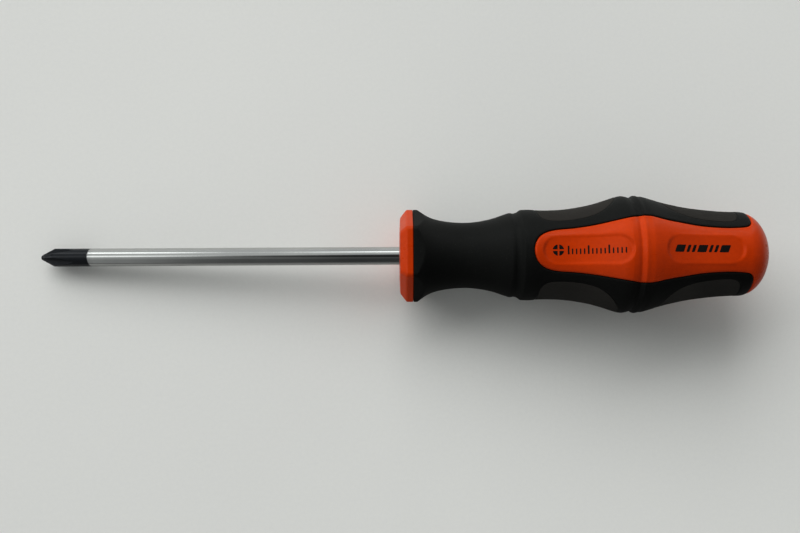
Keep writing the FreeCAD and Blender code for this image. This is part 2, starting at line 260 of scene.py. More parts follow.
class Outline:
    """A closed curve on the surface with a signed distance.

    The distance is positive inside it, or behind it (+X) when it runs round the axis."""

    SPACING = 0.06

    def __init__(self, xs, angles, around=False):
        xs = np.append(xs, xs[0])
        angles = np.append(angles, angles[0] + (2 * pi if around else 0.0))
        travel = travelled(embed(xs, angles))
        count = max(16, int(travel[-1] / self.SPACING))
        even = np.linspace(0, travel[-1], count, endpoint=False)
        x, angle = np.interp(even, travel, xs), np.interp(even, travel, angles)
        self.points = embed(x, angle)
        self.x_max = x.max()
        coarse = max(1, count // 700)
        self.coarse_x, self.coarse_angle = x[::coarse], angle[::coarse]
        self.around = around
        self.tangent = unit(np.roll(self.points, -3, axis=0) - np.roll(self.points, 3, axis=0))
        along_x = embed(x + 0.05, angle) - embed(x - 0.05, angle)
        round_axis = embed(x, angle + 0.004) - embed(x, angle - 0.004)
        self.inward = unit(np.cross(unit(np.cross(round_axis, along_x)), self.tangent))
        self.tree = kdtree.KDTree(count)
        for i, point in enumerate(self.points):
            self.tree.insert(point, i)
        self.tree.balance()
        every = max(1, count // 40)
        probe = self.points[::every] + 0.4 * self.inward[::every]
        if self.inside(probe[:, 0], angle_of(probe)).mean() < 0.5:
            self.inward = -self.inward

    def inside(self, x, angle):
        """Odd number of crossings on the way forwards (-X) from each point."""
        result = np.zeros(len(x), bool)
        turn = wrap(np.roll(self.coarse_angle, -1) - self.coarse_angle)
        advance = np.roll(self.coarse_x, -1) - self.coarse_x
        for low in range(0, len(x), 4000):
            part = slice(low, low + 4000)
            off = wrap(angle[part, None] - self.coarse_angle[None, :])
            hit = np.where(turn > 0, (off >= 0) & (off < turn), (off < 0) & (off >= turn))
            share = np.where(hit, off / np.where(turn == 0, 1, turn), 0)
            crossing = self.coarse_x + advance * share
            result[part] = (hit & (crossing < x[part, None])).sum(1) % 2 == 1
        return result

    def near(self, x, angle):
        """Signed distance, foot point and inward direction for each point."""
        points = embed(x, angle)
        if len(x) > 3000:
            # large sets: look up only what lies near the outline, the rest is simply far
            low, high = self.points.min(0) - 3.0, self.points.max(0) + 3.0
            close = ((points > low) & (points < high)).all(1)
            if close.mean() < 0.9:
                far = np.where(x > self.x_max, 9.0, -9.0) if self.around else -9.0
                distance = np.zeros(len(x)) + far
                foot, inward = points.copy(), np.zeros_like(points)
                if close.any():
                    distance[close], foot[close], inward[close] = self.look_up(
                        x[close], angle[close], points[close])
                return distance, foot, inward
        return self.look_up(x, angle, points)

    def look_up(self, x, angle, points):
        nearest = np.fromiter((self.tree.find(p)[1] for p in points), int, len(points))
        anchor, inward = self.points[nearest], self.inward[nearest]
        tangent = self.tangent[nearest]
        offset = points - anchor
        forward = (offset * tangent).sum(1)
        across = (offset * inward).sum(1)
        length = np.linalg.norm(offset, axis=1)
        away = length > 1.0
        sign = np.sign(across)
        if away.any():
            sign[away] = np.where(self.inside(x[away], angle[away]), 1.0, -1.0)
        distance = np.where(away, length * sign, across)
        foot = anchor + tangent * np.clip(forward, -0.2, 0.2)[:, None]
        return distance, foot, inward

    def offset(self, x, angle, distance):
        """Points at a signed distance from the outline, opposite each given point."""
        _, foot, inward = self.near(x, angle)
        points = foot + inward * distance
        return points[:, 0], angle_of(points)


def seam_outline():
    """Line where plastic meets rubber: two windows joined round the ends of the two pads."""
    window = np.array(WINDOW)
    travel = travelled(window)
    spline_x = cubic(np.column_stack((travel, window[:, 0])), start=0.0)
    spline_y = cubic(np.column_stack((travel, window[:, 1])), start=1.0)
    even = np.linspace(0, travel[-1], 500)
    quarter = [(x, degrees(asin(min(0.999, y / float(turned_radius(x))))))
               for x, y in zip(spline_x(even), spline_y(even))]
    # ease from the window's side to the middle of the pad's end
    ease = cubic([(angle, x) for x, angle in (quarter[-1],) + PAD_END], end=0.0)
    for angle in np.linspace(quarter[-1][1], 90.0, 60)[1:]:
        quarter.append((float(ease(angle)), float(angle)))
    quarter = np.array(quarter)
    half = np.concatenate([quarter, (quarter[::-1] * (1, -1) + (0, 180))[1:]])
    full = np.concatenate([half, half[1:-1] + (0, 180)])
    return Outline(full[:, 0], np.radians(full[:, 1]), around=True)


def pad_panel(half_outline, centre):
    """Textured panel, mirrored about the pad's centre line, with its corners cut four times."""
    points = np.array(half_outline + tuple((x, -span) for x, span in reversed(half_outline)), float)
    for _ in range(4):
        following = np.roll(points, -1, axis=0)
        pair = [0.75 * points + 0.25 * following, 0.25 * points + 0.75 * following]
        points = np.stack(pair, 1).reshape(-1, 2)
    return Outline(points[:, 0], np.radians(centre + points[:, 1]))


def label_panel(x_front, x_rear, below):
    """Long panel with straight sides in plan and full-round ends, on the +Z or -Z window."""
    points = []
    for x, first in ((x_rear - LABEL_HALF, -90), (x_front + LABEL_HALF, 90)):
        for angle in np.radians(np.linspace(first, first + 180, 40)):
            points.append((x + LABEL_HALF * cos(angle), LABEL_HALF * sin(angle)))
    x, y = np.array(points).T
    angle = np.arcsin(np.clip(y / turned_radius(x), -0.99, 0.99))
    return Outline(x, pi - angle if below else angle)


SEAM = seam_outline()
pad_panels = [pad_panel(half_outline, centre)
              for half_outline in (FRONT_PANEL, REAR_PANEL) for centre in (90.0, 270.0)]
label_panels = [label_panel(x_front, x_rear, below)
                for x_front, x_rear in LABELS for below in (False, True)]


# ---------------------------------------------------------------- meshing
def spaced(*parts):
    """Stations over touching stretches, each given as (start, end, step)."""
    stations = []
    for start, end, step in parts:
        count = max(1, int(round((end - start) / step)))
        stations += list(np.linspace(start, end, count, endpoint=False))
    stations.append(parts[-1][1])
    return np.array(stations)


# angles of the columns round the handle, closer together at the flange's six corners
COLUMNS = np.radians(np.concatenate([
    np.linspace(corner + low, corner + high, count, endpoint=False)
    for corner in range(30, 360, 60)
    for low, high, count in ((-30, -5.4, 16), (-5.4, 5.4, 18), (5.4, 30, 16))]))


def field_of(*terms):
    """Smallest of sign * distance - offset over (outline, sign, offset), with its gradient."""
    def field(x, angle):
        best, gradient = None, None
        for outline, sign, offset in terms:
            distance, _, inward = outline.near(x, angle)
            value, direction = sign * distance - offset, sign * inward
            if best is None:
                best, gradient = value, direction
            else:
                lower = value < best
                best = np.where(lower, value, best)
                gradient[lower] = direction[lower]
        return best, gradient
    return field


class Region:
    """Part of the (x, angle) grid where the field is positive, its border exactly on zero.

    The grid closes on itself round the axis."""

    def __init__(self, stations, field):
        self.stations = stations
        rows, columns = len(stations), len(COLUMNS)
        grid_x, grid_angle = np.meshgrid(stations, COLUMNS, indexing="ij")
        x, angle = grid_x.ravel().copy(), grid_angle.ravel().copy()
        value, gradient = field(x, angle)
        step_x = np.gradient(stations)[:, None] + 0 * grid_angle
        step_round = wrap(np.roll(COLUMNS, -1) - COLUMNS)[None, :] * handle_radius(
            grid_x, grid_angle)
        # grid points close to the border move onto it
        snap = np.abs(value) < 0.42 * np.minimum(step_x, step_round).ravel()
        x[snap], angle[snap] = self.slide(x[snap], angle[snap], value[snap], gradient[snap])
        value[snap] = 0.0
        index = np.arange(rows * columns).reshape(rows, columns)
        beside = np.roll(index, -1, axis=1)
        quads = np.stack([index[:-1], beside[:-1], beside[1:], index[1:]], -1).reshape(-1, 4)
        corners = value[quads]
        whole = (corners >= 0).all(1) & (corners > 0).any(1)
        split = (corners > 0).any(1) & (corners < 0).any(1)
        faces = [tuple(int(i) for i in quad) for quad in quads[whole]]
        cuts, cut_x, cut_angle = {}, [], []

        def cut(a, b):
            """Vertex where the border crosses the grid edge a-b."""
            key = (a, b) if a < b else (b, a)
            if key not in cuts:
                a, b = key
                share = value[a] / (value[a] - value[b])
                cuts[key] = rows * columns + len(cut_x)
                cut_x.append(x[a] + share * (x[b] - x[a]))
                cut_angle.append(angle[a] + share * float(wrap(angle[b] - angle[a])))
            return cuts[key]

        for quad in quads[split]:
            polygon = []
            for k in range(4):
                a, b = int(quad[k]), int(quad[(k + 1) % 4])
                if value[a] >= 0:
                    polygon.append(a)
                if value[a] * value[b] < 0:
                    polygon.append(cut(a, b))
            if len(polygon) >= 3:
                faces.append(tuple(polygon))
        if cut_x:
            cut_x, cut_angle = np.array(cut_x), np.array(cut_angle)
            for _ in range(2):
                cut_x, cut_angle = self.slide(cut_x, cut_angle, *field(cut_x, cut_angle))
            x, angle = np.concatenate([x, cut_x]), np.concatenate([angle, cut_angle])
        used = sorted({i for face in faces for i in face})
        self.number = {old: new for new, old in enumerate(used)}
        self.x, self.angle = x[used], angle[used]
        self.faces = [tuple(self.number[i] for i in face) for face in faces]

    @staticmethod
    def slide(x, angle, value, gradient):
        points = embed(x, angle) - gradient * value[:, None]
        return points[:, 0], angle + wrap(angle_of(points) - angle)

    def row(self, i):
        """The full ring of vertices on grid row i."""
        columns = len(COLUMNS)
        return [self.number[i * columns + j] for j in range(columns)]

    def loops(self):
        """Closed border loops, as lists of vertex numbers."""
        edges = set()
        for face in self.faces:
            for k in range(len(face)):
                edges.add((face[k], face[(k + 1) % len(face)]))
        following = {}
        for a, b in edges:
            if (b, a) not in edges:
                following.setdefault(a, []).append(b)
        for ends in following.values():
            ends.sort()
        loops = []
        for start in sorted(following):
            while following[start]:
                loop, current = [start], following[start].pop()
                while current != start:
                    loop.append(current)
                    current = following[current].pop()
                loops.append(loop)
        return loops

    def loop_along(self, outline):
        """The border loop that follows an outline most closely."""
        return min(self.loops(), key=lambda loop: np.abs(
            outline.near(self.x[loop], self.angle[loop])[0]).mean())


class Solid:
    """Collects vertices and faces of a closed piece."""

    def __init__(self):
        self.points, self.faces, self.materials = [], [], []
        self.count = 0

    def add(self, x, angle, radius):
        points = embed(x, angle, radius)
        points[:, 0] += FLANGE_X
        self.points.append(points)
        first = self.count
        self.count += len(points)
        return list(range(first, self.count))

    def face(self, corners, material=0):
        corners = [a for k, a in enumerate(corners) if a != corners[k - 1]]
        if len(set(corners)) >= 3:
            self.faces.append(tuple(corners))
            self.materials.append(material)

    def region(self, region, radius, material=0):
        numbers = self.add(region.x, region.angle, radius(region.x, region.angle))
        for face in region.faces:
            self.face([numbers[i] for i in face], material)
        return numbers

    def band(self, row, other, material=0):
        """Quads between two closed rows of equal length."""
        count = len(row)
        for k in range(count):
            after = (k + 1) % count
            self.face([row[k], row[after], other[after], other[k]], material)

    def rings(self, row, sections, angles=COLUMNS):
        """Bands from a closed row through rings given as (x, radius)."""
        for x, radius in sections:
            ring = self.add(x, angles, radius)
            self.band(row, ring)
            row = ring
        return row

    def fan(self, row, x):
        """Closes a row with triangles to a point on the axis."""
        apex = self.add(x, np.zeros(1), 0.0)[0]
        for k in range(len(row)):
            self.face([row[k], row[(k + 1) % len(row)], apex])

    def stitch(self, row, other):
        """Triangles between two closed rows of any length."""
        points = np.concatenate(self.points)
        row_points, other_points = points[row], points[other]

        def area(loop):
            arms = loop - loop.mean(0)
            return np.cross(arms, np.roll(loop, -1, axis=0) - loop.mean(0)).sum(0)
        if np.dot(area(row_points), area(other_points)) < 0:
            other, other_points = other[::-1], other_points[::-1]
        start = int(np.argmin(np.linalg.norm(other_points - row_points[0], axis=1)))
        other = list(other[start:]) + list(other[:start])
        other_points = np.roll(other_points, -start, axis=0)
        row_count, other_count = len(row), len(other)
        i = j = 0
        while i < row_count or j < other_count:
            a, a_next = i % row_count, (i + 1) % row_count
            b, b_next = j % other_count, (j + 1) % other_count
            if j >= other_count or i >= row_count:
                advance_row = j >= other_count
            else:
                advance_row = (np.linalg.norm(row_points[a_next] - other_points[b])
                               <= np.linalg.norm(other_points[b_next] - row_points[a]))
            if advance_row:
                self.face([row[a], row[a_next], other[b]])
                i += 1
            else:
                self.face([row[a], other[b_next], other[b]])
                j += 1

    def build(self, name, materials):
        coords = np.concatenate(self.points) * MM
        mesh = bpy.data.meshes.new(name)
        mesh.from_pydata([tuple(p) for p in coords], [], self.faces)
        for material in materials:
            mesh.materials.append(material)
        mesh.polygons.foreach_set("material_index", np.array(self.materials, np.int32))
        piece = link_object(name, mesh)
        bm = bmesh.new()
        bm.from_mesh(mesh)
        bmesh.ops.remove_doubles(bm, verts=bm.verts, dist=2e-6)
        loose = [v for v in bm.verts if not v.link_faces]
        bmesh.ops.delete(bm, geom=loose, context="VERTS")
        bmesh.ops.recalc_face_normals(bm, faces=bm.faces)
        if bm.calc_volume(signed=True) < 0:
            bmesh.ops.reverse_faces(bm, faces=bm.faces)
        bm.to_mesh(mesh)
        bm.free()
        mesh.shade_smooth()
        return piece


def link_object(name, data):
    result = bpy.data.objects.new(name, data)
    bpy.context.scene.collection.objects.link(result)
    return result


# ---------------------------------------------------------------- parts shared by body and grip
def seam_and_trunk(solid, top, top_numbers, side, edge, first_degrees, wall_levels, clearance,
                   stations):
    """Rounded edge along the seam, wall down to the trunk, and the trunk's surface.

    side is 1 for the hard plastic and -1 for the rubber; wall_levels are (distance from the
    seam, drop). Returns the front ring of the trunk's surface."""
    across, down = edge
    levels = [(side * (SEAM_GAP + across * (1 - sin(angle))), down * (1 - cos(angle)))
              for angle in np.radians(np.linspace(first_degrees, 90, 6))]
    loop = top.loop_along(SEAM)
    row = [top_numbers[i] for i in loop]
    for distance, drop in levels + wall_levels:
        x, angle = SEAM.offset(top.x[loop], top.angle[loop], distance)
        lower = solid.add(x, angle, handle_radius(x, angle) - drop)
        solid.band(row, lower)
        row = lower
    wall = solid.add(x, angle, trunk_radius(x) + clearance)
    solid.band(row, wall)
    under = Region(stations, field_of((SEAM, -1.0, -side * SEAM_GAP)))
    numbers = solid.region(under, lambda x, angle: trunk_radius(x) + clearance)
    solid.stitch(wall, [numbers[i] for i in under.loop_along(SEAM)])
    return [numbers[i] for i in under.row(0)]


def sunk_panel(solid, outline, top, top_numbers, reach_in, reach_out, steps, floor, wall,
               material=0):
    """A panel below the surface; wall gives the radius from floor (share 0) to top (1)."""
    top_loop = top.loop_along(outline)
    inner = Region(top.stations, field_of((outline, 1.0, reach_in)))
    numbers = solid.region(inner, floor, material)
    loop = inner.loop_along(outline)
    row = [numbers[i] for i in loop]
    for k in range(1, steps):
        share = k / steps
        distance = reach_in - share * (reach_in + reach_out - 0.02)
        x, angle = outline.offset(inner.x[loop], inner.angle[loop], distance)
        upper = solid.add(x, angle, wall(x, angle, share))
        solid.band(row, upper, material if k < 3 else 0)
        row = upper
    solid.stitch(row, [top_numbers[i] for i in top_loop])


def hexagon_ring(apothem, corner=FLANGE_CORNER):
    return hexagon_radius(COLUMNS, apothem, corner)


def flange_joint(x):
    """Rings going outwards on the plane where flange and rubber meet."""
    return [(x, hexagon_ring(FLANGE_APOTHEM - inset, max(0.3, FLANGE_CORNER - inset)))
            for inset in (1.6, 0.9)]


# ---------------------------------------------------------------- hard plastic body
def flange_sections():
    """Rings from the trunk outwards, over the flats, across the front face and into the bore."""
    def chamfer(x):
        return FLANGE_FRONT_APOTHEM + CHAMFER_SLOPE * x

    sections = flange_joint(FLANGE_BACK)
    back_round = 0.28
    for angle in np.radians(np.linspace(90, 0, 6)):
        sections.append((FLANGE_BACK - back_round * (1 - sin(angle)),
                         hexagon_ring(FLANGE_APOTHEM - back_round * (1 - cos(angle)))))
    for x in np.linspace(3.35, 2.5, 4):
        sections.append((x, hexagon_ring(FLANGE_APOTHEM)))
    # eased corner into the chamfer, then the chamfer
    for x in np.linspace(2.35, 0.75, 14):
        sections.append((x, hexagon_ring(soft_min(FLANGE_APOTHEM, chamfer(x), 0.4125))))
    chamfer_end = 0.36
    for x in np.linspace(0.6, chamfer_end, 3):
        sections.append((x, hexagon_ring(chamfer(x))))
    # small round into the face: a quadratic curve with the corner as its control point
    control_x, control_apothem = 0.19, chamfer(0.12)
    face_x, face_apothem = 0.16, 8.72
    for share in (0.3, 0.6, 0.85, 1.0):
        start, middle, end = (1 - share) ** 2, 2 * share * (1 - share), share * share
        x = start * chamfer_end + middle * control_x + end * face_x
        apothem = start * chamfer(chamfer_end) + middle * control_apothem + end * face_apothem
        sections.append((x, hexagon_ring(apothem)))
    # slightly dished face, from hexagon to circle
    for share in (0.85, 0.7, 0.55, 0.4, 0.25, 0.12):
        radius = hexagon_ring(face_apothem) * share + 3.1 * (1 - share)
        sections.append((face_x * share ** 2.2, radius))
    # mouth of the bore and the bore: (x, radius)
    sections += [(0.0, 2.92), (0.03, 2.76), (0.10, 2.62), (0.20, 2.54), (0.28, 2.515),
                 (0.31, 2.315), (5.0, 2.315)]
    return sections


def dome_section(angle):
    return DOME_START + DOME_LENGTH * sin(angle), DOME_RADIUS * cos(angle)


def make_body(materials):
    solid = Solid()
    # windows and dome
    dome_join = 97.0
    stations = spaced((35.0, 60.8, 0.55), (60.8, 65.6, 0.16), (65.6, 93.0, 0.62),
                      (93.0, dome_join, 0.45))
    join_degrees = degrees(asin((dome_join - DOME_START) / DOME_LENGTH))
    dome_angles = np.radians(np.linspace(join_degrees, 88.2, 22))[1:]
    stations = np.concatenate([stations, DOME_START + DOME_LENGTH * np.sin(dome_angles)])
    top = Region(stations, field_of((SEAM, 1.0, SEAM_GAP + HARD_EDGE[0]),
                                    *[(label, -1.0, LABEL_OUT) for label in label_panels]))
    numbers = solid.region(top, handle_radius)
    ring = [numbers[i] for i in top.row(len(stations) - 1)]
    ring = solid.rings(ring, [dome_section(radians(a)) for a in (88.9, 89.5)])
    solid.fan(ring, BUTT_X)

    front = seam_and_trunk(solid, top, numbers, side=1, edge=HARD_EDGE, first_degrees=15,
                           wall_levels=[(SEAM_GAP, 0.95)], clearance=0.0,
                           stations=spaced((FLANGE_BACK, 96.0, 1.6)))

    def label_wall(x, angle, share):
        low = smooth(1 - share)
        return handle_radius(x, angle) * (1 - low) + label_floor(x, angle) * low
    for label in label_panels:
        sunk_panel(solid, label, top, numbers, reach_in=LABEL_IN, reach_out=LABEL_OUT, steps=7,
                   floor=label_floor, wall=label_wall)

    hollow = [(x, radius + CORE_CLEARANCE) for x, radius in CORE]
    row = solid.rings(front, flange_sections() + hollow)
    solid.fan(row, CORE[-1][0] + 0.01)
    return solid.build("handle_body_moulding", materials)


# ---------------------------------------------------------------- soft overmould
def make_grip(materials):
    """Rubber with its textured panels in the second material, whose lighter colour is painted sheen.
    """
    solid = Solid()
    stations = spaced((4.16, 7.6, 0.2), (7.6, 30.0, 0.55), (30.0, 34.4, 0.15),
                      (34.4, 60.8, 0.55), (60.8, 65.8, 0.15), (65.8, 95.6, 0.57))
    top = Region(stations, field_of((SEAM, -1.0, SEAM_GAP + SOFT_EDGE[0]),
                                    *[(pad, -1.0, PAD_STEP) for pad in pad_panels]))
    numbers = solid.region(top, handle_radius)
    front = seam_and_trunk(solid, top, numbers, side=-1, edge=SOFT_EDGE, first_degrees=18,
                           wall_levels=[(-SEAM_GAP + 0.002, 0.45), (-SEAM_GAP, 0.9)],
                           clearance=RUBBER_CLEARANCE,
                           stations=spaced((GRIP_FRONT, 96.0, 1.7)))

    def pad_floor(x, angle):
        return handle_radius(x, angle) - PAD_SINK

    def pad_wall(x, angle, share):
        groove = PAD_GROOVE * sin(pi * share) ** 2
        return handle_radius(x, angle) - PAD_SINK * smooth(1 - share) - groove
    for pad in pad_panels:
        sunk_panel(solid, pad, top, numbers, reach_in=PAD_STEP, reach_out=PAD_STEP, steps=8,
                   floor=pad_floor, wall=pad_wall, material=1)

    # rounded front edge against the flange
    front_round = 0.26
    sections = flange_joint(GRIP_FRONT)
    for angle in np.radians(np.linspace(90, 12, 6)):
        x = GRIP_FRONT + front_round * (1 - sin(angle))
        sections.append((x, handle_radius(x, COLUMNS) - front_round * (1 - cos(angle))))
    row = solid.rings(front, sections)
    solid.band(row, [numbers[i] for i in top.row(0)])
    return solid.build("grip_overmould_rubber", materials)


# ---------------------------------------------------------------- blade, x from the tip
BLADE_ROLL = radians(8.0)               # turn of the cross tip about the axis
SHAFT_RADIUS = 2.5
TIP_RADIUS, TIP_SLOPE = 0.55, tan(radians(28.0))
NOSE_LENGTH = 0.16                      # rounded very end of the tip
FLUTE_LENGTH, FLUTE_ROOT = 9.4, 0.68    # root is the flute's radius from the axis at the tip
TANG_START, TANG_RADIUS = 100.28, 2.3
WING_REACH, WING_HALF = 3.9, 0.75
WINGS = ((126.0, 138.0, 0.0), (150.0, 162.0, pi / 2))   # front, rear, turn


def blade_radius(x, angle):
    """Polar radius of the bar, with the cross tip and the tang's wings."""
    cone = TIP_RADIUS + x * TIP_SLOPE
    nose = 0.36 + 0.24 * np.sqrt(np.clip(1 - (1 - np.clip(x / NOSE_LENGTH, 0, 1)) ** 2, 0, 1))
    bar_radius = soft_min(soft_min(cone, SHAFT_RADIUS, 0.10),
                          np.where(x < NOSE_LENGTH, nose, 99.0), 0.03)
    bar_radius = np.where(x > TANG_START, TANG_RADIUS, bar_radius)
    # flutes cut by a disc: the root climbs slowly, then runs out
    climb = SHAFT_RADIUS - FLUTE_ROOT
    disc = (FLUTE_LENGTH ** 2 + climb ** 2) / (2 * climb)
    root = FLUTE_ROOT + disc - np.sqrt(np.clip(disc * disc - x * x, 0, None))
    root = np.where(x > disc * 0.9, 9.0, root)
    rolled = angle - BLADE_ROLL
    to_arm = np.minimum(np.abs(np.sin(rolled)), np.abs(np.cos(rolled)))
    cross = root * sin(pi / 4) / np.maximum(to_arm, 1e-3)
    radius = soft_min(bar_radius, cross, 0.03)
    radius = np.where(bar_radius < 0.3, np.minimum(bar_radius, cross), radius)
    for front, rear, turn in WINGS:
        reach = np.interp(
            x, (front - 0.001, front, front + 3.0, rear - 1.6, rear, rear + 0.001),
            (0, TANG_RADIUS, WING_REACH, WING_REACH, TANG_RADIUS, 0))
        side = WING_HALF / np.maximum(np.abs(np.sin(angle - turn)), 1e-3)
        radius = np.maximum(radius, np.minimum(reach, side))
    return radius


def make_blade(materials):
    solid = Solid()
    stations = np.concatenate([
        [0.0, 0.012, 0.03, 0.06, 0.1, 0.16, 0.23, 0.30, 0.37],
        spaced((0.45, 11.0, 0.085)), spaced((11.5, 99.6, 2.2)), [99.9, 100.15, 100.25, 100.27],
        spaced((100.29, 100.35, 0.02), (100.35, 125.5, 5.0), (125.5, 139.0, 0.5),
               (139.0, 149.5, 3.0), (149.5, 163.0, 0.5), (163.0, BLADE_END - 0.8, 4.0))])
    angles = np.linspace(0, 2 * pi, 241)[:-1]
    sections = [(x - FLANGE_X, blade_radius(np.full_like(angles, x), angles)) for x in stations]
    sections.append((BLADE_END - FLANGE_X, 1.5))
    first = solid.add(sections[0][0], angles, sections[0][1])
    solid.fan(first, -FLANGE_X)
    last = solid.rings(first, sections[1:], angles)
    solid.fan(last, BLADE_END - FLANGE_X)
    return solid.build("blade_steel", materials)


# ---------------------------------------------------------------- shader graphs
class Graph:
    """Short ways to add nodes to the tree of a material or a world."""

    def __init__(self, owner):
        owner.use_nodes = True
        self.tree = owner.node_tree
        self.tree.nodes.clear()

    def add(self, kind, **settings):
        node = self.tree.nodes.new(kind)
        for key, value in settings.items():
            setattr(node, key, value)
        return node

    def feed(self, socket, value):
        """Links an output to the socket, or sets a number or an RGB colour."""
        if isinstance(value, bpy.types.NodeSocket):
            self.tree.links.new(value, socket)
        else:
            socket.default_value = (*value, 1) if isinstance(value, tuple) else value

    def math(self, operation, *values):
        node = self.add("ShaderNodeMath", operation=operation)
        for i, value in enumerate(values):
            self.feed(node.inputs[i], value)
        return node.outputs[0]

    def sum(self, first, second):
        return self.math("ADD", first, second)

    def times(self, first, second):
        return self.math("MULTIPLY", first, second)

    def remap(self, value, span, to, kind="LINEAR"):
        """Brings the range span to the range to."""
        node = self.add("ShaderNodeMapRange", interpolation_type=kind)
        for i, item in enumerate((value, *span, *to)):
            self.feed(node.inputs[i], item)
        return node.outputs[0]

    def ease(self, value, span, to):
        return self.remap(value, span, to, kind="SMOOTHSTEP")

    def split(self, vector):
        node = self.add("ShaderNodeSeparateXYZ")
        self.feed(node.inputs[0], vector)
        return node.outputs


class Surface(Graph):
    """A material with a Principled shader, its textures in object coordinates (metres)."""

    def __init__(self, name):
        self.material = bpy.data.materials.new(name)
        super().__init__(self.material)
        output = self.add("ShaderNodeOutputMaterial")
        self.shader = self.add("ShaderNodeBsdfPrincipled")
        self.feed(output.inputs[0], self.shader.outputs[0])
        self.position = self.add("ShaderNodeTexCoord").outputs["Object"]

    def noise(self, scale, detail=3.0, rough=0.5, stretch=None):
        node = self.add("ShaderNodeTexNoise")
        node.inputs["Scale"].default_value = scale
        node.inputs["Detail"].default_value = detail
        node.inputs["Roughness"].default_value = rough
        vector = self.position
        if stretch:
            mapping = self.add("ShaderNodeMapping")
            mapping.inputs["Scale"].default_value = stretch
            self.feed(mapping.inputs["Vector"], vector)
            vector = mapping.outputs[0]
        self.feed(node.inputs["Vector"], vector)
        return node.outputs["Fac"]

    def ramp(self, factor, low, high):
        """Colour ramp between two stops, each (position, colour or grey)."""
        node = self.add("ShaderNodeValToRGB")
        for element, (position, colour) in zip(node.color_ramp.elements, (low, high)):
            rgb = colour if isinstance(colour, tuple) else (colour,) * 3
            element.position = position
            element.color = (*rgb, 1)
        self.feed(node.inputs[0], factor)
        return node.outputs[0]

    def mix(self, factor, first, second, blend="MIX"):
        node = self.add("ShaderNodeMix", data_type="RGBA", blend_type=blend)
        for i, value in ((0, factor), (6, first), (7, second)):
            self.feed(node.inputs[i], value)
        return node.outputs[2]

    def bump(self, height, strength, distance, normal=None):
        node = self.add("ShaderNodeBump")
        node.inputs["Strength"].default_value = strength
        node.inputs["Distance"].default_value = distance
        self.feed(node.inputs["Height"], height)
        if normal is not None:
            self.feed(node.inputs["Normal"], normal)
        return node.outputs[0]

    def finish(self, **values):
        """Sets the shader's inputs, with underscores for spaces, and returns the material."""
        for key, value in values.items():
            self.feed(self.shader.inputs[key.replace("_", " ")], value)
        return self.material


def orange_plastic():
    s = Surface("orange_polypropylene")
    tone = s.noise(scale=55, detail=3, rough=0.5)
    fine = s.noise(scale=900, detail=3, rough=0.6)
    base = s.ramp(tone, low=(0.30, (0.440, 0.0400, 0.0006)), high=(0.70, (0.500, 0.0470, 0.0009)))
    speck = s.ramp(fine, low=(0.38, 0.94), high=(0.62, 1.0))
    colour = s.mix(1.0, base, speck, blend="MULTIPLY")
    scratch = s.noise(scale=420, detail=2, rough=0.5, stretch=(0.12, 1.0, 1.0))
    rough = s.remap(s.sum(tone, scratch), span=(0.7, 1.3), to=(0.26, 0.36))
    grain = s.bump(fine, strength=0.18, distance=0.00004)
    normal = s.bump(scratch, strength=0.10, distance=0.00005, normal=grain)
    return s.finish(Base_Color=colour, Roughness=rough, Normal=normal, IOR=1.49,
                    Specular_IOR_Level=0.24)


def rubber(name, grain, dark, light, roughness, strength):
    """Black rubber with a little dust; grain is the scale of its bumps."""
    s = Surface(name)
    tone = s.noise(scale=70, detail=4, rough=0.55)
    smudge = s.noise(scale=24, detail=3, rough=0.6)
    fine = s.noise(scale=grain, detail=2, rough=0.6)
    base = s.ramp(s.sum(s.times(tone, 0.5), s.times(smudge, 0.5)),
                  low=(0.36, dark), high=(0.64, light))
    dust = s.ramp(s.noise(scale=2600, detail=2, rough=0.7), low=(0.62, 0.0), high=(0.80, 1.0))
    dust_colour = (0.22, 0.21, 0.20)
    colour = s.mix(s.times(dust, 0.10), base, dust_colour)
    rough = s.remap(smudge, span=(0.3, 0.7), to=roughness)
    return s.finish(Base_Color=colour, Roughness=rough,
                    Normal=s.bump(fine, strength=strength, distance=0.00006), IOR=1.5,
                    Specular_IOR_Level=0.26)


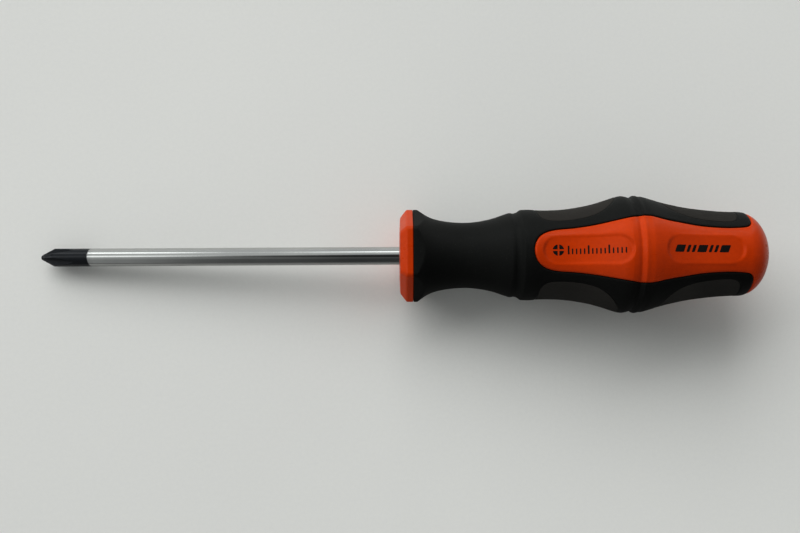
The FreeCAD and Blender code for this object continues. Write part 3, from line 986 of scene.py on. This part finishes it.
def steel():
    """Satin chrome bar with a black phosphate tip."""
    s = Surface("satin_chrome_and_black_phosphate")
    x, y, _ = s.split(s.position)
    turned = s.noise(scale=220, detail=2, rough=0.5, stretch=(0.5, 1.0, 1.0))
    drawn = s.noise(scale=900, detail=2, rough=0.6, stretch=(0.03, 1.0, 1.0))   # lines along it
    cloud = s.noise(scale=120, detail=3, rough=0.5)
    # edge of the dipped zone, a little uneven and curved over y
    unevenness, curvature = 0.0007, -90.0
    uneven = s.math("SUBTRACT", s.noise(scale=420, detail=2, rough=0.5), 0.5)
    edge = s.sum(x, s.times(uneven, unevenness))
    edge = s.sum(edge, s.times(s.times(y, y), curvature))
    black = s.remap(edge, span=(0.01315, 0.01345), to=(1.0, 0.0))
    fade = s.remap(edge, span=(0.0132, 0.0150), to=(1.0, 0.0))
    chrome = s.ramp(cloud, low=(0.3, (0.60, 0.605, 0.60)), high=(0.7, (0.66, 0.665, 0.655)))
    fade_colour, wear_colour = (0.30, 0.30, 0.31), (0.16, 0.16, 0.165)
    chrome = s.mix(s.times(fade, 0.35), chrome, fade_colour)
    phosphate = s.ramp(s.noise(scale=1500, detail=3, rough=0.6),
                       low=(0.3, (0.0035, 0.0046, 0.0070)), high=(0.7, (0.0080, 0.0104, 0.0150)))
    wear = s.remap(x, span=(0.0, 0.0016), to=(0.35, 0.0))
    worn = s.ramp(s.noise(scale=2200, detail=2, rough=0.5), low=(0.45, 0.0), high=(0.6, 1.0))
    phosphate = s.mix(s.times(wear, worn), phosphate, wear_colour)
    chrome_rough = s.remap(s.sum(turned, drawn), span=(0.7, 1.3), to=(0.09, 0.13))
    black_rough = s.remap(cloud, span=(0.3, 0.7), to=(0.18, 0.26))
    rough = s.mix(black, chrome_rough, black_rough)
    metal = s.remap(black, span=(0.0, 1.0), to=(1.0, 0.10))
    height = s.sum(s.times(turned, 0.6), s.times(drawn, 0.4))
    return s.finish(Base_Color=s.mix(black, chrome, phosphate), Metallic=metal, Roughness=rough,
                    Normal=s.bump(height, strength=0.03, distance=0.00001), Anisotropic=0.0)


def ink():
    s = Surface("pad_print_ink")
    tone = s.noise(scale=1800, detail=3, rough=0.6)
    return s.finish(
        Base_Color=s.ramp(tone, low=(0.3, (0.005, 0.004, 0.004)), high=(0.7, (0.011, 0.008, 0.007))),
        Roughness=s.remap(tone, span=(0.3, 0.7), to=(0.40, 0.55)),
        Normal=s.bump(tone, strength=0.2, distance=0.00003), Specular_IOR_Level=0.25)


def core_plastic():
    s = Surface("core_plastic")
    tone = s.noise(scale=200, detail=4, rough=0.6)
    return s.finish(
        Base_Color=s.ramp(tone, low=(0.3, 0.05), high=(0.7, 0.09)),
        Roughness=s.remap(tone, span=(0.3, 0.7), to=(0.45, 0.6)),
        Normal=s.bump(s.noise(scale=900), strength=0.2, distance=0.00005))


def pale_paper():
    s = Surface("pale_paper")
    broad = s.noise(scale=7, detail=3, rough=0.5)
    fine = s.noise(scale=900, detail=4, rough=0.7)
    tone = s.sum(s.times(broad, 0.6), s.times(fine, 0.4))
    # painted shade: seen only in reflections, the paper darkens towards -Y
    glossy = s.add("ShaderNodeLightPath").outputs["Is Glossy Ray"]
    place = s.split(s.add("ShaderNodeNewGeometry").outputs["Position"])
    dim = s.times(glossy, s.remap(place[1], span=(0.010, -0.045), to=(0.12, 0.82)))
    paper = s.ramp(tone, low=(0.3, (0.690, 0.700, 0.690)), high=(0.7, (0.740, 0.750, 0.735)))
    reflected_shade_colour = (0.03, 0.03, 0.03)
    return s.finish(Base_Color=s.mix(dim, paper, reflected_shade_colour), Roughness=0.85,
                    Normal=s.bump(fine, strength=0.12, distance=0.0001), Specular_IOR_Level=0.2)


ORANGE = orange_plastic()
RUBBER = rubber("black_soft_rubber", grain=2600, dark=(0.0036, 0.0040, 0.0037),
                light=(0.0060, 0.0066, 0.0062), roughness=(0.50, 0.64), strength=0.20)
# painted sheen: the same rubber, its base colour made several times lighter where the texture
# catches the light; the texture's bumps are real
RUBBER_TEXTURED_PAINTED_SHEEN = rubber("black_soft_rubber_textured_painted_sheen", grain=1500, dark=(0.021, 0.0197, 0.0180),
                         light=(0.033, 0.0308, 0.0282), roughness=(0.78, 0.90), strength=0.8)
STEEL = steel()
INK = ink()
CORE_PLASTIC = core_plastic()

body = make_body([ORANGE])
grip = make_grip([RUBBER, RUBBER_TEXTURED_PAINTED_SHEEN])
blade = make_blade([STEEL])
for piece, cad_name, slot_name in ((body, "handle_body", "body_plastic"),
                                   (grip, "grip_overmould", "grip_rubber"),
                                   (blade, "blade", "blade_steel")):
    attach(piece, "root")
    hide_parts(cad_name)
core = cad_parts["inner_core"]
core.data.materials.clear()
core.data.materials.append(CORE_PLASTIC)


# ---------------------------------------------------------------- printed marks on the +Z window
INK_ABOVE, INK_BELOW = 0.03, 0.05       # faces of the ink, above and below the panel floor


def print_mark(name, outlines):
    """Thin closed plates that follow the panel floor, one for each outline of (x, y)."""
    bm = bmesh.new()
    for outline in outlines:
        top, bottom = [], []
        for x, y in outline:
            floor = float(turned_radius(x) - label_sink(x))
            for row, z in ((top, floor + INK_ABOVE), (bottom, floor - INK_BELOW)):
                row.append(bm.verts.new(((FLANGE_X + x) * MM, y * MM, z * MM)))
        bm.faces.new(top)
        bm.faces.new(bottom[::-1])
        for k in range(len(top)):
            after = (k + 1) % len(top)
            bm.faces.new((top[k], bottom[k], bottom[after], top[after]))
    bmesh.ops.recalc_face_normals(bm, faces=bm.faces)
    mesh = bpy.data.meshes.new(name)
    bm.to_mesh(mesh)
    bm.free()
    mesh.materials.append(INK)
    mark = link_object(name, mesh)
    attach(mark, "root")


def bar(x, y, width, height, corner, lean=0.0):
    """A rounded bar, its +Y end leaning towards +X by lean over its height."""
    points = []
    for side_x, side_y, first in ((1, 1, 0), (-1, 1, 90), (-1, -1, 180), (1, -1, 270)):
        for turn in (0, 45, 90):
            angle = radians(first + turn)
            along_x = side_x * (width / 2 - corner) + corner * cos(angle)
            along_y = side_y * (height / 2 - corner) + corner * sin(angle)
            points.append((x + along_x + lean * (along_y / height), y + along_y))
    return points


def crossed_disc():
    """A disc with a plain cross left open in it: four quarter pieces."""
    centre, radius, arm = 42.4, 1.5, 0.24       # arm is half the width of the cross
    margin = asin(arm / radius)
    quarters = []
    for k in range(4):
        points = [(centre + radius * cos(a), radius * sin(a)) for a in np.linspace(
            radians(90 * k) + margin, radians(90 * (k + 1)) - margin, 14)]
        middle = radians(90 * k + 45)
        points.append((centre + arm * sqrt(2) * cos(middle), arm * sqrt(2) * sin(middle)))
        quarters.append(points)
    return quarters


def tick_scale():
    """A plain scale of 15 ticks, every fifth one long, level at their +Y... -Y ends."""
    first, pitch, long_height = 45.1, 1.04, 2.3
    ticks = []
    for i in range(15):
        width, height = (0.42, long_height) if i % 5 == 0 else (0.34, 1.5)
        ticks.append(bar(first + i * pitch, -(long_height - height) / 2, width, height, 0.10))
    return ticks


def leaning_bars():
    start, gap = 73.2, 0.72
    bars = []
    for width in (2.5, 0.8, 0.8, 2.5, 0.8, 0.8, 2.5):
        bars.append(bar(start + width / 2, 0.15, width, height=1.9, corner=0.16, lean=0.75))
        start += width + gap
    return bars


print_mark("window_mark_scale", crossed_disc() + tick_scale())
print_mark("window_mark_bars", leaning_bars())


# ---------------------------------------------------------------- table
def make_table():
    """Paper under the tool, inclined because the tool rests on the flange's flat and the bulge."""
    rest_x, rest_radius, drop = FRONT_BULGE[-1][0], 16.33, 16.42
    bm = bmesh.new()
    bmesh.ops.create_grid(bm, x_segments=60, y_segments=60, size=9.0)
    mesh = bpy.data.meshes.new("table_paper")
    bm.to_mesh(mesh)
    bm.free()
    table = link_object("table_paper", mesh)
    table.location = ((FLANGE_X + rest_x) * MM, 0, -drop * MM)
    tilt = atan((rest_radius - FLANGE_APOTHEM) / (rest_x - FLANGE_CHAMFER))
    table.rotation_euler = (0, tilt, 0)
    mesh.materials.append(pale_paper())


# ---------------------------------------------------------------- world
def mirrored_room(g, x, y):
    """What shiny surfaces mirror: bright at +Y, dim at -Y, dark overhead, with two tubes."""
    low = g.times(g.ease(x, span=(-0.33, -0.17), to=(0.26, 0.10)),
                  g.ease(x, span=(-0.16, -0.04), to=(1.0, 0.55)))
    rise = g.ease(y, span=(-0.75, 0.35), to=(0.0, 1.0))
    bright_side = 0.53
    side = g.sum(low, g.times(g.math("SUBTRACT", bright_side, low), rise))
    ends = g.times(g.ease(x, span=(-0.45, 0.30), to=(1.0, 0.85)),
                   g.times(g.ease(x, span=(0.10, 0.75), to=(1.0, 0.50)),
                           g.ease(x, span=(-0.80, -0.42), to=(0.45, 1.0))))
    # oval dark patch: centre (0.15, -0.10), half widths 0.43 and 0.42
    off_x = g.math("DIVIDE", g.math("SUBTRACT", x, 0.15), 0.43)
    off_y = g.math("DIVIDE", g.sum(y, 0.10), 0.42)
    distance = g.math("SQRT", g.sum(g.times(off_x, off_x), g.times(off_y, off_y)))
    patch = g.ease(distance, span=(0.55, 1.10), to=(0.10, 1.0))
    level = g.times(g.times(side, ends), patch)

    def tube(centre, width):
        """A ceiling tube, seen as a long bright line along X."""
        off = g.math("DIVIDE", g.math("SUBTRACT", y, centre), width)
        return g.math("EXPONENT", g.times(g.times(off, off), -1.0))

    tube_ends = g.sum(g.ease(x, span=(-0.27, -0.19), to=(1.0, 0.0)),
                      g.ease(x, span=(-0.14, -0.01), to=(0.06, 1.0)))
    bright, faint = 1.7, 0.9
    side_tube = g.times(tube(centre=0.74, width=0.060), tube_ends)
    level = g.sum(level, g.times(side_tube, bright))
    top_tube = g.times(tube(centre=0.09, width=0.12),
                       g.ease(x, span=(-0.30, -0.18), to=(1.0, 0.0)))
    return g.sum(level, g.times(top_tube, faint))


def diffuse_room(g, x, y):
    """What lights matt surfaces: a little brighter at +Y and -X, and dimmer overhead."""
    # the dim part is centred on (0.10, -0.12)
    distance = g.math("SQRT", g.sum(g.math("POWER", g.math("SUBTRACT", x, 0.10), 2.0),
                                    g.math("POWER", g.sum(y, 0.12), 2.0)))
    overhead = g.ease(distance, span=(0.25, 0.95), to=(0.35, 1.0))
    lengthwise = g.ease(x, span=(-0.8, 0.9), to=(1.12, 0.80))
    sideways = g.ease(y, span=(-0.9, 0.9), to=(0.43, 0.53))
    return g.times(g.times(sideways, lengthwise), overhead)


def make_world():
    """Separate backgrounds for glossy, diffuse and camera rays."""
    world = bpy.data.worlds.new("studio")
    bpy.context.scene.world = world
    g = Graph(world)
    output = g.add("ShaderNodeOutputWorld")
    final_mix = g.add("ShaderNodeMixShader")
    rays = g.add("ShaderNodeLightPath").outputs

    def background(colour, level):
        node = g.add("ShaderNodeBackground")
        g.feed(node.inputs[0], colour)
        g.feed(node.inputs[1], level)
        return node.outputs[0]

    def mix_shaders(node, factor, first, second):
        for i, value in enumerate((factor, first, second)):
            g.feed(node.inputs[i], value)
        return node.outputs[0]

    x, y, _ = g.split(g.add("ShaderNodeTexCoord").outputs["Generated"])
    mirrored = background(colour=(0.96, 0.99, 0.98), level=mirrored_room(g, x, y))
    diffuse = background(colour=(0.985, 1.0, 0.985), level=diffuse_room(g, x, y))
    seen = background(colour=(0.80, 0.81, 0.80), level=0.42)
    lighting = mix_shaders(g.add("ShaderNodeMixShader"), rays["Is Glossy Ray"], diffuse, mirrored)
    g.feed(output.inputs[0], mix_shaders(final_mix, rays["Is Camera Ray"], lighting, seen))


# ---------------------------------------------------------------- light and camera, metres
def make_key_light():
    """Large window light, left out of reflections."""
    light = bpy.data.lights.new("key_window", "AREA")
    light.shape = "RECTANGLE"
    light.size, light.size_y = 6.2, 3.0
    light.energy = 186.0
    light.color = (1.0, 0.995, 0.98)
    key = link_object("key_window", light)
    place, target = Vector((-1.78, 2.86, 2.60)), Vector((0.06, 0.02, 0))
    key.location = place
    key.rotation_euler = (target - place).to_track_quat("-Z", "Y").to_euler()
    key.visible_glossy = False


def make_camera():
    """Looks down on the tool, leaning a little towards -Y."""
    data = bpy.data.cameras.new("camera")
    data.sensor_width, data.lens = 36.0, 40.05
    data.clip_start, data.clip_end = 0.01, 20
    camera = link_object("camera", data)
    lean, roll, distance = radians(5.5), radians(0.32), 0.249
    shift_x, shift_down = 0.00016, 0.0030      # aim, from the flange's front on the axis
    back = Vector((0, -sin(lean), cos(lean)))
    up = Vector((0, cos(lean), sin(lean)))
    right = Vector((1, 0, 0))
    target = Vector((FLANGE_X * MM + shift_x, 0, 0)) - up * shift_down
    rolled_right = right * cos(roll) - up * sin(roll)
    rolled_up = up * cos(roll) + right * sin(roll)
    camera.rotation_mode = "QUATERNION"
    rotation = Matrix((rolled_right, rolled_up, back)).transposed()
    camera.rotation_quaternion = rotation.to_quaternion()
    camera.location = target + back * distance
    bpy.context.scene.camera = camera


make_table()
make_world()
make_key_light()
make_camera()
bpy.context.scene.view_settings.view_transform = "Standard"
bpy.context.scene.view_settings.look = "Medium High Contrast"
